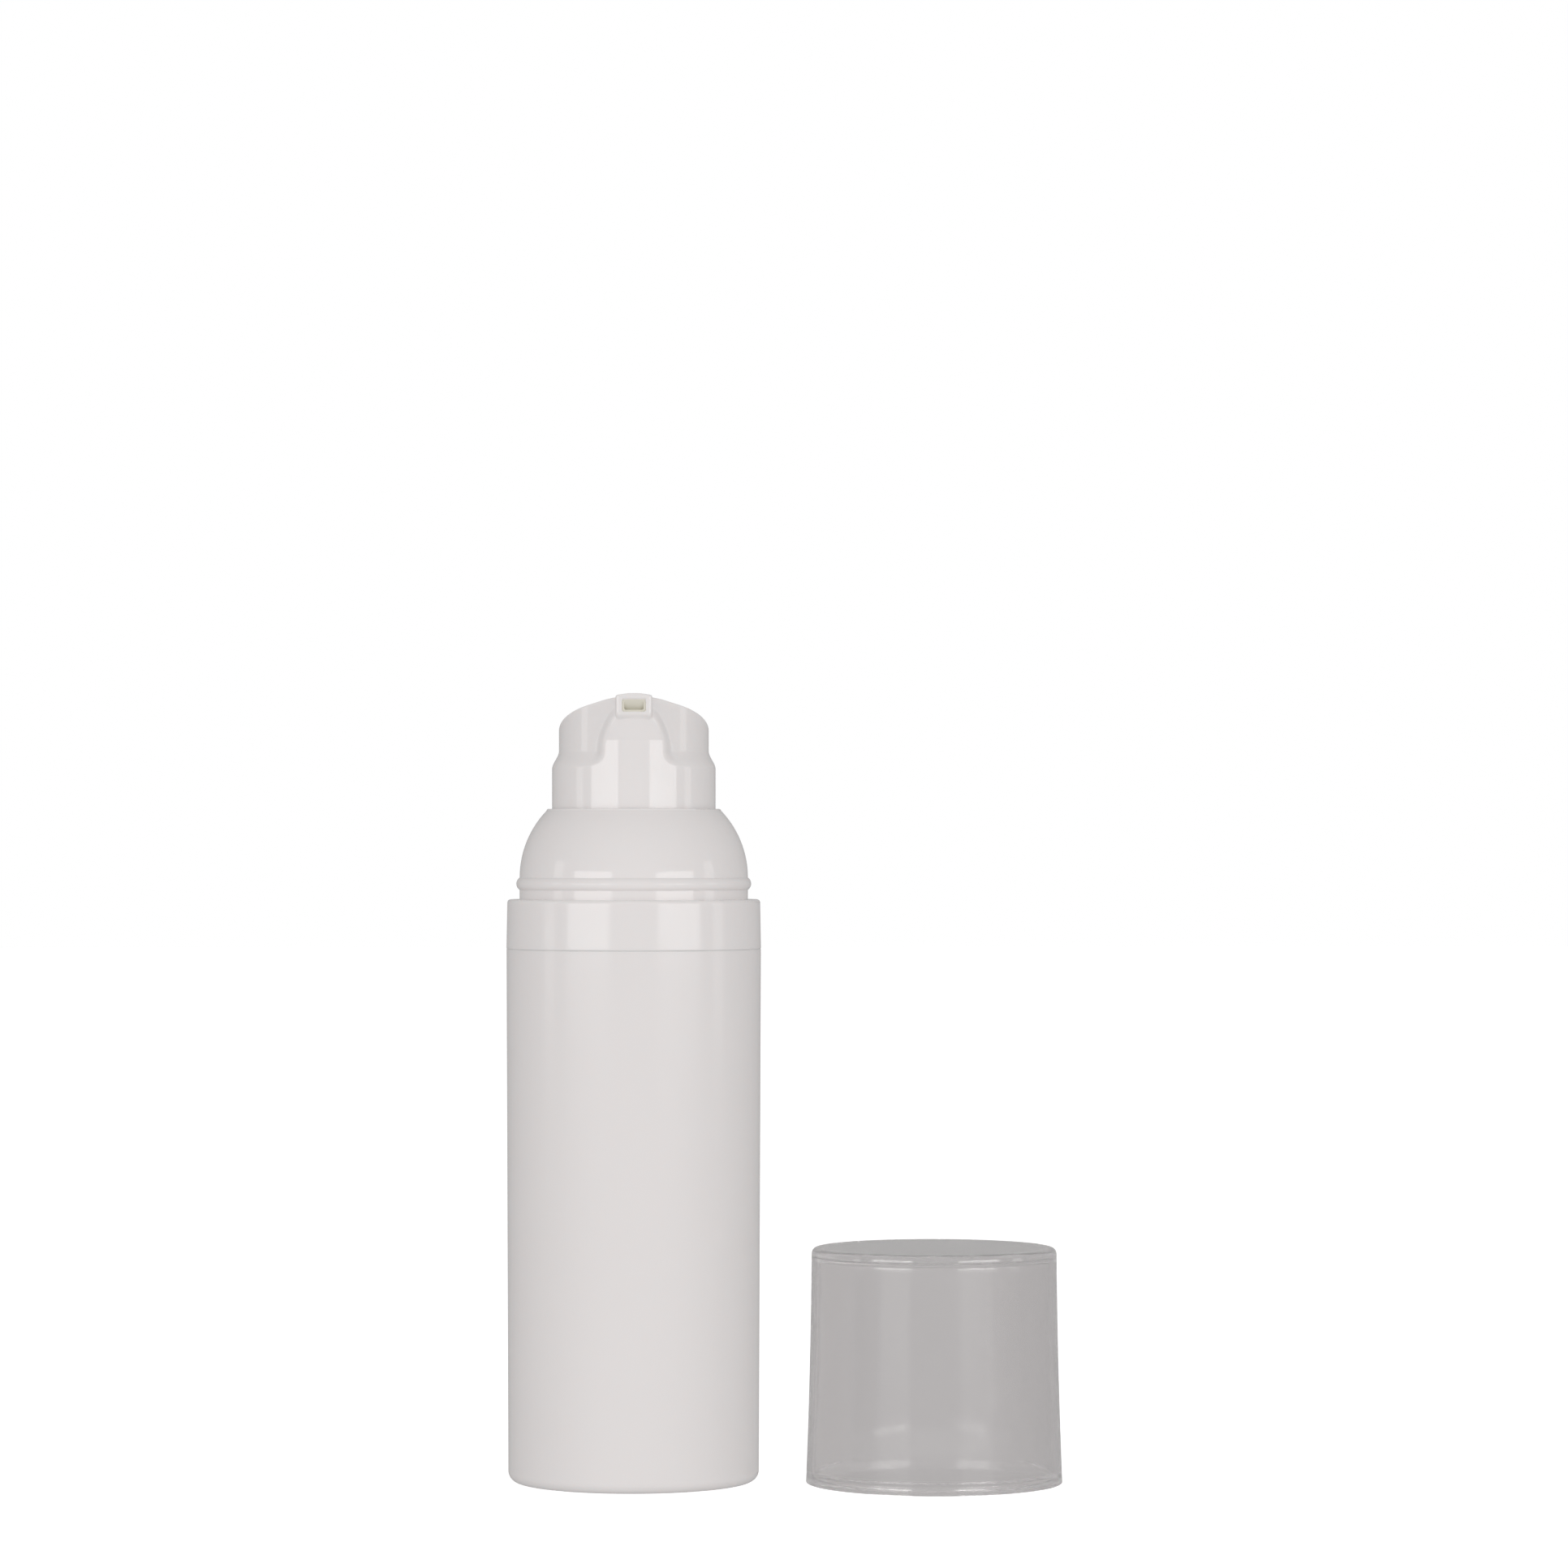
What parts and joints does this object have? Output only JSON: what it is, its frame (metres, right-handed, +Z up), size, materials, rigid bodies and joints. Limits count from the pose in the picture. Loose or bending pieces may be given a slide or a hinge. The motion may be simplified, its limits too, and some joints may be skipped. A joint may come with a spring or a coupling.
{
  "type": "airless pump bottle",
  "caption": "Tall cylindrical airless cosmetic pump bottle with a domed collar, sloped finger head with a front spout, and a translucent over-cap standing beside it.",
  "frame": {"origin": "centre of the bottle's base, on the plane that the bottle and the loose cap stand on", "axes": "+Z up along the bottle's axis, -Y out of the spout, +X towards the loose cap"},
  "size_m": [0.0763, 0.0376, 0.1079],
  "materials": {
    "white_satin": "satin moulded white polypropylene",
    "white_gloss": "polished moulded white polypropylene",
    "natural_engine": "natural polypropylene",
    "soft_piston": "natural polyethylene",
    "soft_seal": "soft sealing ring",
    "spring_steel": "drawn stainless wire",
    "steel_ball": "polished stainless ball",
    "cream_liner": "natural cream soft plastic",
    "clear_cap": "translucent natural polypropylene"
  },
  "bodies": {
    "bottle": {"barrel": "white_satin", "shoulder_collar": "white_gloss", "neck_gasket": "soft_seal", "pump_cylinder": "natural_engine", "stem_guide": "natural_engine", "return_spring": "spring_steel"},
    "plunger": {"stem": "natural_engine", "poppet": "natural_engine"},
    "head": {"actuator_head": "white_gloss", "spout_liner": "cream_liner"},
    "dosing_piston": {"pump_piston": "soft_piston"},
    "ball": {"inlet_ball": "steel_ball"},
    "follower": {"follower_piston": "soft_piston"},
    "cap": {"over_cap": "clear_cap"}
  },
  "joints": [
    {"name": "head_press", "type": "slide", "parent": "bottle", "child": "plunger", "axis": [0, 0, -1], "range_m": [0, 0.005], "stiffness_N_per_m": 1200, "springref_m": -0.006, "deforming": ["return_spring"]},
    {"name": "head_turn", "type": "hinge", "parent": "plunger", "child": "head", "pos_m": [0, 0, 0.0984], "axis": [0, 0, 1], "continuous": true},
    {"name": "piston_float", "type": "slide", "parent": "plunger", "child": "dosing_piston", "axis": [0, 0, 1], "range_m": [0, 0.0007]},
    {"name": "ball_lift", "type": "slide", "parent": "bottle", "child": "ball", "axis": [0, 0, 1], "range_m": [0, 0.0008]},
    {"name": "follower_rise", "type": "slide", "parent": "bottle", "child": "follower", "axis": [0, 0, 1], "range_m": [0, 0.0644]},
    {"name": "cap_lift", "type": "slide", "parent": "bottle", "child": "cap", "axis": [0, 0, 1], "range_m": [0, 0.12]}
  ]
}
